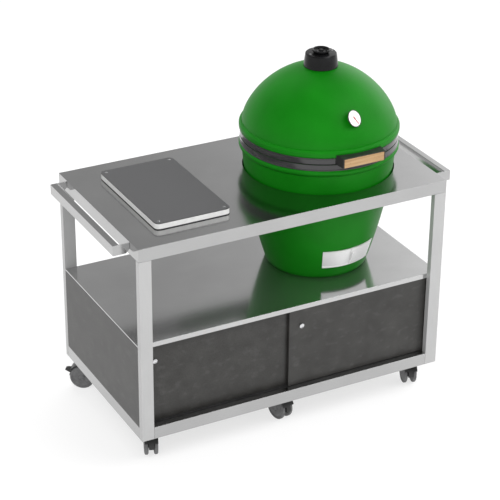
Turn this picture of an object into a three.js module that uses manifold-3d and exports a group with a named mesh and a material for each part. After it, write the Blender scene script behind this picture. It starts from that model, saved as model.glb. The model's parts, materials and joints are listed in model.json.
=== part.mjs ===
// Ceramic kamado charcoal grill built into a rolling stainless steel table.
// Millimetres, +Z up. X runs along the table, -Y is the front, the origin is on the floor under its middle.

import * as THREE from 'three';
import { mergeVertices } from 'three/addons/utils/BufferGeometryUtils.js';
import Module from 'manifold-3d';

const wasm = await Module();
wasm.setup();

// ---- driving dimensions -------------------------------------------------------------------------

const GAP = 0.3;               // clearance between pieces that touch
const BITE = 1;                // how far solids reach past a face that they share in a join or a cut
const RING_STEPS = 48;         // facets round the kamado
const SMALL_STEPS = 20;        // facets round small turned pieces

const TABLE_LENGTH = 1300;
const TABLE_DEPTH = 730;
const TOP_HEIGHT = 937;        // floor to the worktop's upper face
const TOP_THICK = 52;          // depth of the worktop's folded edge
const SHEET = 3;               // stainless sheet
const TUBE_WIDE = 50;          // rectangular frame tube, 50 x 25
const TUBE_DEEP = 25;
const TUBE_WALL = 2;
const FRAME_BASE = 130;        // underside of the bottom rails
const PANEL = 18;              // laminate panels of the cabinet

const SHELF_TOP = 531;
const SHELF_SHEET = 2;
const SHELF_EDGE = 6;          // depth of the folded ends that lie on the side panels
const SHELF_LIP = 20;
const SHELF_SEAM = 60;         // the sheet's two fields meet here, left of the kamado's foot

const HANDLE_GAP = 41;         // between the worktop's end and the push bar
const HANDLE_BAR = 25;
const HANDLE_HIGH = 40;
const HANDLE_HALF = 290;       // half of the push bar's length
const HANDLE_DROP = 4;         // the bar's top sits this far below the worktop
const HANDLE_ARM = 4;

const DOOR_THICK = 8;
const DOOR_LENGTH = 641;
const DOOR_OVERLAP = 13;       // each door passes the middle by this much
const DOOR_BASE = 181;
const DOOR_TOP = 519;
const DOOR_SPACING = 15;       // front face to front face
const PULL_RADIUS = 10;
const PULL_HEIGHT = 439;
const PULL_PROUD = 6;          // less than the gap between the doors
const PULL_STEM = 4;

const CASTER_INSET_X = 70;
const CASTER_INSET_Y = 75;
const CASTER_TRAIL = 30;
const WHEEL_RADIUS = 50;
const WHEEL_THICK = 15;
const WHEEL_HALF = 26;         // half of the width over both wheels
const AXLE_RADIUS = 6;
const STEM_RADIUS = 8.4;
const STEM_TOP = 144;

const KAMADO_X = 290;
const HOLE_RADIUS = 296;
const FOOT_RADIUS = 196;
const BOWL_FOOT = 200;
const BOWL_RADIUS = 299;
const BOWL_HEIGHT = 484;       // foot to the underside of the base flange
const FLANGE_RADIUS = 311;
const SEAT_RADIUS = 303.8;     // ceramic under the steel bands
const BAND_RADIUS = 308.4;
const BAND_HIGH = 24;
const BAND_BASE = 102;         // underside of the lower band above the worktop
const SPLIT_HIGH = 4;          // two felt gaskets between the bands
const SHELL = 24;
const LINER_GAP = 6;           // air between the shell and the fire box
const LINER = 18;
const LINER_SPLIT = 320;       // the fire ring stands on the fire box at this height above the foot
const LINER_TOP = 470;
const GRATE_HIGH = 100;        // ledge for the charcoal grate above the foot
const GRATE_RADIUS = 164;
const DOME_RADIUS = 300;
const DOME_BASE = 184;
const DOME_HIGH = 228;
const DOME_FLAT = 1.5;         // exponents of the dome's outline
const DOME_FULL = 1.95;
const CHIMNEY_RADIUS = 45;

const DRAFT_MIDDLE = 5;        // degrees round the kamado from straight ahead
const DRAFT_HALF = 28.5;
const DRAFT_BASE = 55;         // above the foot
const DRAFT_HIGH = 80;
const DRAFT_RAIL = 3;

const HINGE_Y = 335;           // behind the kamado's axis
const HINGE_PIN = 5;

const BOARD = { x: -376, y: -2, wide: 306, deep: 508, high: 26, corner: 24 };

const FOOT_Z = SHELF_TOP + GAP;
const LOWER_BAND_Z = TOP_HEIGHT + BAND_BASE;
const SPLIT_Z = LOWER_BAND_Z + BAND_HIGH;
const UPPER_BAND_Z = SPLIT_Z + SPLIT_HIGH;
const FRONT = -TABLE_DEPTH / 2;
const CABINET_FRONT = FRONT + TUBE_DEEP;

// ---- materials ----------------------------------------------------------------------------------

const finishes = {
  stainless: { color: 0xb9bbbd, metalness: 1, roughness: 0.32 },
  band: { color: 0x6e6c70, metalness: 1, roughness: 0.35 },
  green: { color: 0x12780f, metalness: 0, roughness: 0.28 },
  iron: { color: 0x3b3b3d, metalness: 0.6, roughness: 0.6 },
  clay: { color: 0xb59f86, metalness: 0, roughness: 0.9 },
  felt: { color: 0x2b2b2b, metalness: 0, roughness: 1 },
  beech: { color: 0xc9a06a, metalness: 0, roughness: 0.55 },
  black: { color: 0x1c1d1f, metalness: 0.2, roughness: 0.5 },
  slate: { color: 0x4c4a48, metalness: 0, roughness: 0.6 },
  plastic: { color: 0x151515, metalness: 0, roughness: 0.45 },
  tread: { color: 0x6a6a6a, metalness: 0, roughness: 0.6 },
  polished: { color: 0xd5d6d8, metalness: 1, roughness: 0.15 },
  red: { color: 0xd0202a, metalness: 0, roughness: 0.4 },
  white: { color: 0xf2f2f0, metalness: 0, roughness: 0.35 },
};

const kamadoGrill = new THREE.Group();

function add(name, finish, geometry, place = {}) {
  const mesh = new THREE.Mesh(geometry, new THREE.MeshStandardMaterial(finishes[finish]));
  mesh.name = name;
  mesh.position.set(place.x ?? 0, place.y ?? 0, place.z ?? 0);
  mesh.rotation.z = place.turn ?? 0;
  kamadoGrill.add(mesh);
}

// ---- solids -------------------------------------------------------------------------------------

function toSolid(geometry) {
  const bare = geometry.clone();
  bare.deleteAttribute('normal');
  bare.deleteAttribute('uv');
  const merged = mergeVertices(bare, 1e-4);
  const index = merged.index.array;
  const kept = [];
  for (let i = 0; i < index.length; i += 3) {
    const [a, b, c] = [index[i], index[i + 1], index[i + 2]];
    if (a !== b && b !== c && c !== a) kept.push(a, b, c);
  }
  const at = merged.attributes.position.array;
  if (signedVolume(at, kept) < 0) kept.reverse();
  const vertProperties = new Float32Array(at);
  const triVerts = new Uint32Array(kept);
  return new wasm.Manifold(new wasm.Mesh({ numProp: 3, vertProperties, triVerts }));
}

function signedVolume(at, index) {
  const [p, q, r] = [new THREE.Vector3(), new THREE.Vector3(), new THREE.Vector3()];
  let total = 0;
  for (let i = 0; i < index.length; i += 3) {
    p.fromArray(at, index[i] * 3);
    q.fromArray(at, index[i + 1] * 3);
    r.fromArray(at, index[i + 2] * 3);
    total += p.dot(q.cross(r));
  }
  return total;
}

function toGeometry(solid) {
  const mesh = solid.getMesh();
  const geometry = new THREE.BufferGeometry();
  geometry.setAttribute('position', new THREE.BufferAttribute(mesh.vertProperties, 3));
  geometry.setIndex(new THREE.BufferAttribute(mesh.triVerts, 1));
  geometry.computeVertexNormals();
  return geometry;
}

function unite(...pieces) {
  return toGeometry(pieces.map(toSolid).reduce((whole, piece) => whole.add(piece)));
}

function cut(body, ...tools) {
  return toGeometry(tools.map(toSolid).reduce((whole, tool) => whole.subtract(tool), toSolid(body)));
}

function overlap(body, tool) {
  return toGeometry(toSolid(body).intersect(toSolid(tool)));
}

function box(x0, x1, y0, y1, z0, z1) {
  const geometry = new THREE.BoxGeometry(x1 - x0, y1 - y0, z1 - z0);
  return geometry.translate((x0 + x1) / 2, (y0 + y1) / 2, (z0 + z1) / 2);
}

// A profile of [radius, height] pairs turned about Z.
function turned(profile, steps = SMALL_STEPS) {
  const points = profile.map(([radius, height]) => new THREE.Vector2(radius, height));
  const geometry = new THREE.LatheGeometry(points, steps);
  return toGeometry(toSolid(geometry.rotateX(Math.PI / 2)));
}

function ring(inner, outer, z0, z1, steps = RING_STEPS) {
  return turned([[inner, z0], [outer, z0], [outer, z1], [inner, z1], [inner, z0]], steps);
}

function rod(radius, z0, z1, steps = SMALL_STEPS) {
  return turned([[0, z0], [radius, z0], [radius, z1], [0, z1]], steps);
}

// A rod along X between two ends.
function rodX(radius, x0, x1, y, z, steps = SMALL_STEPS) {
  return rod(radius, x0, x1, steps).rotateY(Math.PI / 2).translate(0, y, z);
}

// A plate drawn in plan, standing between two heights.
function plate(outline, z0, z1) {
  const shape = new THREE.Shape(outline.map(([x, y]) => new THREE.Vector2(x, y)));
  const geometry = new THREE.ExtrudeGeometry(shape, { depth: z1 - z0, bevelEnabled: false });
  return geometry.translate(0, 0, z0);
}

function stepsBetween(from, to, count) {
  return Array.from({ length: count + 1 }, (_, i) => from + ((to - from) * i) / count);
}

// A block between two angles round the kamado, for cutting windows; 0 degrees points to the front.
function wedge(inner, outer, fromDegrees, toDegrees, z0, z1) {
  const angles = stepsBetween(fromDegrees, toDegrees, 8).map(THREE.MathUtils.degToRad);
  const at = (radius, angle) => [radius * Math.sin(angle), -radius * Math.cos(angle)];
  const outline = [...angles.map((a) => at(inner, a)), ...angles.reverse().map((a) => at(outer, a))];
  return plate(outline, z0, z1);
}

// ---- table --------------------------------------------------------------------------------------

const HALF_LENGTH = TABLE_LENGTH / 2;
const HALF_DEPTH = TABLE_DEPTH / 2;
const TOP_BASE = TOP_HEIGHT - TOP_THICK;

function legPlaces() {
  const x = HALF_LENGTH - TUBE_WIDE / 2;
  const y = HALF_DEPTH - TUBE_DEEP / 2;
  return [
    { name: 'leg_front_left', x: -x, y: -y },
    { name: 'leg_back_left', x: -x, y },
    { name: 'leg_front_right', x, y: -y },
    { name: 'leg_back_right', x, y },
  ];
}

// A folded sheet, open below, with a pad over each leg and a collar round the kamado's hole.
function worktop() {
  const collarDeep = 30;
  const outer = box(-HALF_LENGTH, HALF_LENGTH, -HALF_DEPTH, HALF_DEPTH, TOP_BASE, TOP_HEIGHT);
  const inner = box(
    -HALF_LENGTH + SHEET, HALF_LENGTH - SHEET, -HALF_DEPTH + SHEET, HALF_DEPTH - SHEET,
    TOP_BASE - BITE, TOP_HEIGHT - SHEET,
  );
  const pads = legPlaces().map(({ x, y }) => box(
    x - TUBE_WIDE / 2, x + TUBE_WIDE / 2, y - TUBE_DEEP / 2, y + TUBE_DEEP / 2,
    TOP_BASE, TOP_HEIGHT - SHEET / 2,
  ));
  const hole = rod(HOLE_RADIUS, TOP_BASE - BITE, TOP_HEIGHT + BITE, RING_STEPS).translate(KAMADO_X, 0, 0);
  const collar = ring(HOLE_RADIUS - BITE, HOLE_RADIUS + SHEET, TOP_HEIGHT - collarDeep, TOP_HEIGHT - BITE)
    .translate(KAMADO_X, 0, 0);
  return cut(unite(cut(outer, inner), ...pads, collar), hole);
}

// A hollow rectangular tube; the bore runs along the given axis.
function tube(x0, x1, y0, y1, z0, z1, axis) {
  const w = { x: TUBE_WALL, y: TUBE_WALL, z: TUBE_WALL };
  w[axis] = -BITE;
  return cut(
    box(x0, x1, y0, y1, z0, z1),
    box(x0 + w.x, x1 - w.x, y0 + w.y, y1 - w.y, z0 + w.z, z1 - w.z),
  );
}

function legs() {
  for (const { name, x, y } of legPlaces()) {
    add(name, 'stainless', tube(
      x - TUBE_WIDE / 2, x + TUBE_WIDE / 2, y - TUBE_DEEP / 2, y + TUBE_DEEP / 2,
      FRAME_BASE, TOP_BASE - GAP, 'z',
    ));
  }
}

function bottomRails() {
  const top = FRAME_BASE + TUBE_WIDE;
  const reach = HALF_LENGTH - TUBE_WIDE - GAP;
  const run = HALF_DEPTH - TUBE_DEEP - GAP;
  for (const [end, sy] of [['front', -1], ['back', 1]]) {
    const y = sy * (HALF_DEPTH - TUBE_DEEP / 2);
    const rail = tube(-reach, reach, y - TUBE_DEEP / 2, y + TUBE_DEEP / 2, FRAME_BASE, top, 'x');
    add(`rail_${end}`, 'stainless', rail);
  }
  for (const [side, sx] of [['left', -1], ['right', 1]]) {
    const x = sx * (HALF_LENGTH - TUBE_DEEP / 2);
    const rail = tube(x - TUBE_DEEP / 2, x + TUBE_DEEP / 2, -run, run, FRAME_BASE, top, 'y');
    add(`rail_${side}`, 'stainless', rail);
  }
}

// Two fields of sheet with a folded lip at the front and back, and thicker ends on the side panels.
function shelf() {
  const run = HALF_DEPTH - TUBE_DEEP - GAP;
  const lipReach = HALF_LENGTH - PANEL - 2;
  const fields = [[-HALF_LENGTH, SHELF_SEAM], [SHELF_SEAM, HALF_LENGTH]].map(([x0, x1]) =>
    box(x0, x1, -run, run, SHELF_TOP - SHELF_SHEET, SHELF_TOP));
  const lips = [[-run, -run + SHEET], [run - SHEET, run]].map(([y0, y1]) =>
    box(-lipReach, lipReach, y0, y1, SHELF_TOP - SHELF_LIP, SHELF_TOP - BITE));
  const ends = [[-HALF_LENGTH, -lipReach], [lipReach, HALF_LENGTH]].map(([x0, x1]) =>
    box(x0, x1, -run, run, SHELF_TOP - SHELF_EDGE, SHELF_TOP - BITE));
  return unite(...fields, ...lips, ...ends);
}

const UNDER_SHELF = SHELF_TOP - SHELF_SHEET - GAP;

function cabinet() {
  const run = HALF_DEPTH - TUBE_DEEP - GAP;
  const floorTop = FRAME_BASE + PANEL;
  const reach = HALF_LENGTH - TUBE_DEEP - GAP;
  const stems = casterPlaces().map(({ x, y }) =>
    rod(STEM_RADIUS + GAP, FRAME_BASE - BITE, floorTop + BITE).translate(x, y, 0));
  const floor = box(-reach, reach, -run, run, FRAME_BASE + GAP, floorTop);
  add('cabinet_floor', 'slate', cut(floor, ...stems));

  const behind = run - SHEET - GAP;
  const back = box(-reach, reach, behind - PANEL, behind, floorTop + GAP, UNDER_SHELF);
  add('cabinet_back_panel', 'slate', back);
  const ceiling = SHELF_TOP - SHELF_EDGE - GAP;
  const sideBase = FRAME_BASE + TUBE_WIDE + GAP;
  for (const [side, sx] of [['left', -1], ['right', 1]]) {
    const [x0, x1] = sx < 0 ? [-HALF_LENGTH, -HALF_LENGTH + PANEL] : [HALF_LENGTH - PANEL, HALF_LENGTH];
    add(`side_panel_${side}`, 'slate', box(x0, x1, -run, run, sideBase, ceiling));
  }
}

// ---- sliding doors ------------------------------------------------------------------------------

const DOOR_FRONT = CABINET_FRONT + GAP + SHEET + 1;

// A sill and a head, each with a rib between the two doors and one behind them.
function doorTracks() {
  const ribHalf = 0.7;
  const ribHigh = 7;
  const reach = HALF_LENGTH - TUBE_DEEP - 5;
  const back = DOOR_FRONT + DOOR_SPACING + DOOR_THICK + 2;
  const middle = DOOR_FRONT + DOOR_THICK + (DOOR_SPACING - DOOR_THICK) / 2;
  const ribs = (z0, z1) => [middle, back - ribHalf].map((y) =>
    box(-reach, reach, y - ribHalf, y + ribHalf, z0, z1));

  const sillTop = DOOR_BASE - 2;
  const sill = box(-reach, reach, CABINET_FRONT + GAP, back, FRAME_BASE + PANEL + GAP, sillTop);
  add('door_track_bottom', 'stainless', unite(sill, ...ribs(sillTop - BITE, sillTop + ribHigh - BITE)));

  const headBase = DOOR_TOP + 2;
  const head = box(-reach, reach, DOOR_FRONT - 0.5, back, headBase, UNDER_SHELF);
  add('door_track_top', 'stainless', unite(head, ...ribs(headBase - ribHigh - BITE, headBase + BITE)));
}

function slidingDoors() {
  const doors = [
    { side: 'right', x0: -DOOR_OVERLAP, front: DOOR_FRONT, pull: 40 },
    { side: 'left', x0: DOOR_OVERLAP - DOOR_LENGTH, front: DOOR_FRONT + DOOR_SPACING, pull: -574 },
  ];
  for (const { side, x0, front, pull } of doors) {
    const at = (geometry) => geometry.rotateX(Math.PI / 2).translate(pull, front, PULL_HEIGHT);
    const leaf = box(x0, x0 + DOOR_LENGTH, front, front + DOOR_THICK, DOOR_BASE, DOOR_TOP);
    const hole = at(rod(PULL_STEM + GAP, -DOOR_THICK - BITE, BITE));
    add(`door_${side}`, 'slate', cut(leaf, hole));
    add(`door_pull_${side}`, 'polished', at(doorPull()));
  }
}

// A dished knob with a stem that goes into the door.
function doorPull() {
  const stemEnd = BITE - DOOR_THICK;
  const chamfer = 1;
  return turned([
    [0, stemEnd], [PULL_STEM, stemEnd], [PULL_STEM, GAP], [PULL_RADIUS - chamfer, GAP],
    [PULL_RADIUS, GAP + chamfer], [PULL_RADIUS, PULL_PROUD - chamfer], [PULL_RADIUS - chamfer, PULL_PROUD],
    [PULL_RADIUS - 3, PULL_PROUD], [PULL_RADIUS - 5, PULL_PROUD - 1.5], [0, PULL_PROUD - 2],
  ]);
}

// ---- push handles -------------------------------------------------------------------------------

function pushHandles() {
  const top = TOP_HEIGHT - HANDLE_DROP;
  const base = top - HANDLE_HIGH;
  const bevel = 14;
  for (const [side, sx] of [['left', -1], ['right', 1]]) {
    const start = HALF_LENGTH + GAP;
    const inner = HALF_LENGTH + HANDLE_GAP;
    const bar = box(inner, inner + HANDLE_BAR, -HANDLE_HALF, HANDLE_HALF, base, top);
    const arms = [-1, 1].map((sy) => {
      const outline = [
        [start, top], [inner + 1, top], [inner + 1, base], [start + bevel, base], [start, base + bevel],
      ];
      const y = sy < 0 ? -HANDLE_HALF : HANDLE_HALF - HANDLE_ARM;
      return plate(outline, 0, HANDLE_ARM).rotateX(Math.PI / 2).translate(0, y + HANDLE_ARM, 0);
    });
    const handle = unite(bar, ...arms);
    add(`push_handle_${side}`, 'stainless', sx > 0 ? handle : handle.rotateZ(Math.PI));
  }
}

// ---- casters ------------------------------------------------------------------------------------

function casterPlaces() {
  const x = HALF_LENGTH - CASTER_INSET_X;
  const y = HALF_DEPTH - CASTER_INSET_Y;
  return [
    { name: 'front_left', x: -x, y: -y, turn: 69, brake: false },
    { name: 'front_middle', x: 0, y: -y, turn: 101, brake: false },
    { name: 'front_right', x, y: -y, turn: 71, brake: false },
    { name: 'back_left', x: -x, y, turn: 143, brake: true },
    { name: 'back_middle', x: 0, y, turn: -118, brake: false },
    { name: 'back_right', x, y, turn: 37, brake: true },
  ];
}

const HOOD_INNER = WHEEL_RADIUS + 3;
const HOOD_OUTER = WHEEL_RADIUS + 8;
const WEB_HALF = WHEEL_HALF - WHEEL_THICK - 1;
const WHEEL_FACETS = 24;

// Hood and stem: the swivel axis is the origin, the axle lies CASTER_TRAIL along +X, the floor is z = 0.
function casterHood() {
  const across = (radius, half, steps) =>
    rod(radius, -half, half, steps).rotateX(Math.PI / 2).translate(CASTER_TRAIL, 0, WHEEL_RADIUS);
  const above = (height) => box(-80, 140, -80, 80, WHEEL_RADIUS + height, FRAME_BASE - 12);
  const web = overlap(across(HOOD_INNER + 2, WEB_HALF, WHEEL_FACETS), above(-4));
  const boss = across(24, WEB_HALF, WHEEL_FACETS);
  const shell = cut(
    across(HOOD_OUTER, WHEEL_HALF, WHEEL_FACETS), across(HOOD_INNER, WHEEL_HALF + BITE, WHEEL_FACETS),
  );
  const roof = overlap(shell, above(22));
  const head = rod(19, 98, FRAME_BASE - 5);
  const stem = rod(STEM_RADIUS, 120, STEM_TOP);
  return cut(unite(web, boss, roof, head, stem), across(AXLE_RADIUS + GAP, WHEEL_HALF, SMALL_STEPS));
}

function twinWheel() {
  const rim = WHEEL_RADIUS;
  const inner = WHEEL_HALF - WHEEL_THICK;
  const chamfer = 2.5;
  const half = [
    [AXLE_RADIUS, inner], [rim - 3, inner], [rim, inner + chamfer], [rim, WHEEL_HALF - chamfer],
    [rim - 3.5, WHEEL_HALF], [0, WHEEL_HALF],
  ];
  const mirrored = half.map(([radius, at]) => [radius, -at]).reverse();
  return turned([...mirrored, ...half]).rotateX(Math.PI / 2);
}

const PEDAL_PIN = { x: 79.5, z: 75, radius: 1.5, half: 14 };
const PEDAL_HALF = 9;

function pedalPin(room) {
  const pin = rod(PEDAL_PIN.radius + room, -PEDAL_PIN.half - room, PEDAL_PIN.half + room, 12);
  return pin.rotateX(Math.PI / 2).translate(PEDAL_PIN.x, 0, PEDAL_PIN.z);
}

// Seen from the side; it rocks on a pin through the hood's roof.
function brakePedal() {
  const outline = [[81, 60], [102, 70], [101, 76], [92, 79], [79, 79], [77.5, 74], [78.5, 64]];
  const tread = plate(outline, -PEDAL_HALF, PEDAL_HALF).rotateX(Math.PI / 2);
  return unite(tread, pedalPin(0));
}

function casters() {
  for (const { name, x, y, turn, brake } of casterPlaces()) {
    const angle = THREE.MathUtils.degToRad(turn);
    const place = { x, y, turn: angle };
    let hood = casterHood();
    if (brake) {
      const slot = box(76, 120, -PEDAL_HALF - 1, PEDAL_HALF + 1, 55, 84);
      hood = cut(hood, slot, pedalPin(GAP));
    }
    add(`caster_${name}_hood`, 'plastic', hood, place);
    const axle = {
      x: x + CASTER_TRAIL * Math.cos(angle),
      y: y + CASTER_TRAIL * Math.sin(angle),
      z: WHEEL_RADIUS,
      turn: angle,
    };
    add(`caster_${name}_wheels`, 'tread', twinWheel(), axle);
    if (brake) add(`caster_${name}_pedal`, 'plastic', brakePedal(), place);
  }
}

// ---- kamado base --------------------------------------------------------------------------------

// Outer radius of the bowl at a height above its foot.
function bowlRadius(height) {
  const t = height / BOWL_HEIGHT;
  return BOWL_FOOT + (BOWL_RADIUS - BOWL_FOOT) * (1.62 * t - 0.62 * t * t);
}

function bowlWall(from, to, offset, count) {
  return stepsBetween(from, to, count).map((height) => [bowlRadius(height) + offset, height]);
}

const RIM = SPLIT_Z - FOOT_Z - GAP;       // top of the base shell above its foot
const SEAT = LOWER_BAND_Z - FOOT_Z - GAP; // top of the base flange above its foot

function baseShell() {
  const outside = [
    [0, 0], [FOOT_RADIUS, 0], ...bowlWall(8, BOWL_HEIGHT, 0, 7),
    [FLANGE_RADIUS - 3, BOWL_HEIGHT + 4], [FLANGE_RADIUS, BOWL_HEIGHT + 10], [FLANGE_RADIUS, SEAT - 5],
    [FLANGE_RADIUS - 3, SEAT], [SEAT_RADIUS, SEAT], [SEAT_RADIUS, RIM],
  ];
  const inside = [[SEAT_RADIUS - SHELL, RIM], ...bowlWall(30, BOWL_HEIGHT, -SHELL, 5).reverse(), [0, 30]];
  const shell = turned([...outside, ...inside], RING_STEPS);
  return cut(shell, draftWindow(150, 260));
}

// The air inlet, in the half of the plate that the door covers when it is shut.
function draftWindow(inner, outer) {
  const from = DRAFT_MIDDLE + 2;
  return wedge(inner, outer, from, from + 23, DRAFT_BASE + 12, DRAFT_BASE + DRAFT_HIGH - 12);
}

function fireBox() {
  const foot = 31;
  const floorTop = 49;
  const airHole = 42;
  const ledge = 150;
  const outer = -SHELL - LINER_GAP;
  const outside = [[airHole, foot], ...bowlWall(foot, LINER_SPLIT, outer, 3)];
  const inside = bowlWall(GRATE_HIGH, LINER_SPLIT, outer - LINER, 2).reverse();
  const well = [[ledge, GRATE_HIGH], [ledge, floorTop], [airHole, floorTop], [airHole, foot]];
  return cut(turned([...outside, ...inside, ...well], RING_STEPS), draftWindow(120, 230));
}

function fireRing() {
  const outer = -SHELL - LINER_GAP;
  const base = LINER_SPLIT + GAP;
  return turned([
    ...bowlWall(base, LINER_TOP, outer, 2), ...bowlWall(base, LINER_TOP, outer - LINER, 2).reverse(),
    [bowlRadius(base) + outer, base],
  ], RING_STEPS);
}

function charcoalGrate() {
  const spacing = 40;
  const slotHalf = 6;
  const slots = stepsBetween(-3 * spacing, 3 * spacing, 6).map((x) => {
    const half = 0.78 * Math.sqrt(GRATE_RADIUS ** 2 - x * x);
    return box(x - slotHalf, x + slotHalf, -half, half, GRATE_HIGH - BITE, GRATE_HIGH + 10);
  });
  return cut(rod(GRATE_RADIUS, GRATE_HIGH + GAP, GRATE_HIGH + 8, RING_STEPS), ...slots);
}

function cookingGrid() {
  const radius = 258;
  const rimWide = 7;
  const barHalf = 3;
  const base = LINER_TOP + 2 * GAP;
  const rim = ring(radius - rimWide, radius, base, base + 6);
  const bars = stepsBetween(-234, 234, 12).map((x) => {
    const half = Math.sqrt((radius - barHalf) ** 2 - x * x) - BITE;
    return box(x - barHalf, x + barHalf, -half, half, base + 1, base + 7);
  });
  const brace = box(4 - radius, radius - 4, -4, 4, base + 0.5, base + 4);
  return unite(rim, brace, ...bars);
}

// A curved plate that hugs the bowl between two angles and two heights.
function bowlPlate(fromDegrees, toDegrees, z0, z1, stand, thick) {
  const band = turned([
    ...bowlWall(z0, z1, stand + thick, 2), ...bowlWall(z0, z1, stand, 2).reverse(),
    [bowlRadius(z0) + stand + thick, z0],
  ], RING_STEPS * 2);
  return overlap(band, wedge(100, 330, fromDegrees, toDegrees, z0 - 5, z1 + 5));
}

function draftFrame() {
  const from = DRAFT_MIDDLE - DRAFT_HALF;
  const to = DRAFT_MIDDLE + DRAFT_HALF;
  const top = DRAFT_BASE + DRAFT_HIGH;
  const back = bowlPlate(from, to, DRAFT_BASE, top, 0.8, 1.5);
  const rails = [DRAFT_BASE, top - DRAFT_RAIL].map((z) => bowlPlate(from, to, z, z + DRAFT_RAIL, 2, 4));
  return cut(unite(back, ...rails), draftWindow(150, 330));
}

function draftDoor() {
  const from = DRAFT_MIDDLE + 0.5;
  const to = DRAFT_MIDDLE + DRAFT_HALF - 0.3;
  const edge = DRAFT_RAIL + 2 * GAP;
  const tabInset = 20;
  const top = DRAFT_BASE + DRAFT_HIGH;
  const leaf = bowlPlate(from, to, DRAFT_BASE + edge, top - edge, 2.9, 1.6);
  const tab = bowlPlate(from, from + 1, DRAFT_BASE + tabInset, top - tabInset, 3.5, 9);
  return unite(leaf, tab);
}

function kamadoBase() {
  const place = { x: KAMADO_X, z: FOOT_Z };
  add('base_shell', 'green', baseShell(), place);
  add('fire_box', 'clay', fireBox(), place);
  add('fire_ring', 'clay', fireRing(), place);
  add('charcoal_grate', 'iron', charcoalGrate(), place);
  add('cooking_grid', 'polished', cookingGrid(), place);
  add('draft_frame', 'stainless', draftFrame(), place);
  add('draft_door', 'stainless', draftDoor(), place);
  const around = { x: KAMADO_X };
  const inner = SEAT_RADIUS + GAP;
  add('base_band', 'band', ring(inner, BAND_RADIUS, LOWER_BAND_Z, SPLIT_Z), around);
  const felt = SEAT_RADIUS - 20;
  const between = SPLIT_Z + SPLIT_HIGH / 2;
  add('base_gasket', 'felt', ring(felt, SEAT_RADIUS, SPLIT_Z, between - GAP / 2), around);
  add('lid_gasket', 'felt', ring(felt, SEAT_RADIUS, between + GAP / 2, UPPER_BAND_Z - GAP), around);
  add('lid_band', 'band', ring(inner, BAND_RADIUS, UPPER_BAND_Z, UPPER_BAND_Z + BAND_HIGH), around);
}

// ---- kamado lid ---------------------------------------------------------------------------------

// Radius of the dome at a height above the worktop.
function domeRadius(height, radius, base, high) {
  const t = (height - base) / high;
  return radius * Math.pow(1 - Math.pow(t, DOME_FLAT), 1 / DOME_FULL);
}

function domeWall(radius, base, high, stop, count) {
  const top = base + high * Math.pow(1 - Math.pow(stop / radius, DOME_FULL), 1 / DOME_FLAT);
  return stepsBetween(0, Math.PI / 2, count).map((angle) => {
    const height = base + (top - base) * Math.sin(angle);
    return [domeRadius(height, radius, base, high), height];
  });
}

function lidShell() {
  const seatTop = BAND_BASE + 2 * BAND_HIGH + SPLIT_HIGH + GAP;
  const base = BAND_BASE + BAND_HIGH + SPLIT_HIGH;
  const outside = [
    [SEAT_RADIUS, base], [SEAT_RADIUS, seatTop], [FLANGE_RADIUS - 2, seatTop],
    [FLANGE_RADIUS, seatTop + 4], [FLANGE_RADIUS, DOME_BASE - 10], [FLANGE_RADIUS - 4, DOME_BASE - 3],
    ...domeWall(DOME_RADIUS, DOME_BASE, DOME_HIGH, CHIMNEY_RADIUS, 10),
  ];
  const inside = domeWall(SEAT_RADIUS - SHELL, DOME_BASE - 24, DOME_HIGH + 4, CHIMNEY_RADIUS, 7);
  const profile = [...outside, ...inside.reverse(), [SEAT_RADIUS - SHELL, base], [SEAT_RADIUS, base]];
  const stemHole = rod(5, -60, 60).applyMatrix4(thermometerPose());
  return cut(turned(profile, RING_STEPS), stemHole.translate(0, 0, -TOP_HEIGHT));
}

const CAP_BASE = TOP_HEIGHT + 406;
const CAP_TOP = TOP_HEIGHT + 458;
const CAP_WALL = 5;
const VENT_HOLE = 4;
const VENT_CIRCLE = 20;

function chimneyCap() {
  const body = turned([
    [61, CAP_BASE], [66.5, CAP_BASE], [60, CAP_TOP - 3], [58, CAP_TOP], [0, CAP_TOP],
    [0, CAP_TOP - CAP_WALL], [54, CAP_TOP - CAP_WALL], [61, CAP_BASE],
  ], RING_STEPS);
  return cut(body, ...ventHoles(CAP_TOP - CAP_WALL - BITE, CAP_TOP + BITE, 0));
}

// Six smoke holes in a circle, turned by an angle: cap and dial share them.
function ventHoles(z0, z1, turn) {
  return [0, 1, 2, 3, 4, 5].map((i) => {
    const angle = (i * Math.PI) / 3 + turn;
    const [x, y] = [VENT_CIRCLE * Math.cos(angle), VENT_CIRCLE * Math.sin(angle)];
    return rod(VENT_HOLE, z0, z1, 12).translate(x, y, 0);
  });
}

function ventDial() {
  const base = CAP_TOP + GAP;
  const dish = turned([
    [0, base], [28, base], [31, base + 4], [34, base + 8], [34, base + 12],
    [32, base + 13.7], [29, base + 13], [27, base + 7], [10, base + 5], [8, base + 11], [0, base + 12],
  ], 32);
  return cut(dish, ...ventHoles(base - BITE, base + 10, Math.PI / 6));
}

const DIAL_HEIGHT = 280;       // of the stem's foot above the worktop
const DIAL_SIDE = -7.5;        // of the stem's foot from the kamado's middle
const DIAL_RISE = 32;          // degrees that the dial looks up
const DIAL_SWING = 20;         // degrees that it looks to the right
const DIAL_BACK = 9.2;         // the case stands this far off the dome on its stem
const DIAL_FACE = 13.7;
const DIAL_RADIUS = 33;

// The stem's foot is on the dome, and its own +Z points out through the dial.
function thermometerPose() {
  const radius = domeRadius(DIAL_HEIGHT, DOME_RADIUS, DOME_BASE, DOME_HIGH);
  const swing = new THREE.Matrix4().makeRotationZ(THREE.MathUtils.degToRad(DIAL_SWING));
  const rise = new THREE.Matrix4().makeRotationX(THREE.MathUtils.degToRad(90 - DIAL_RISE));
  return swing.multiply(rise).setPosition(DIAL_SIDE, -radius, TOP_HEIGHT + DIAL_HEIGHT);
}

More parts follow.
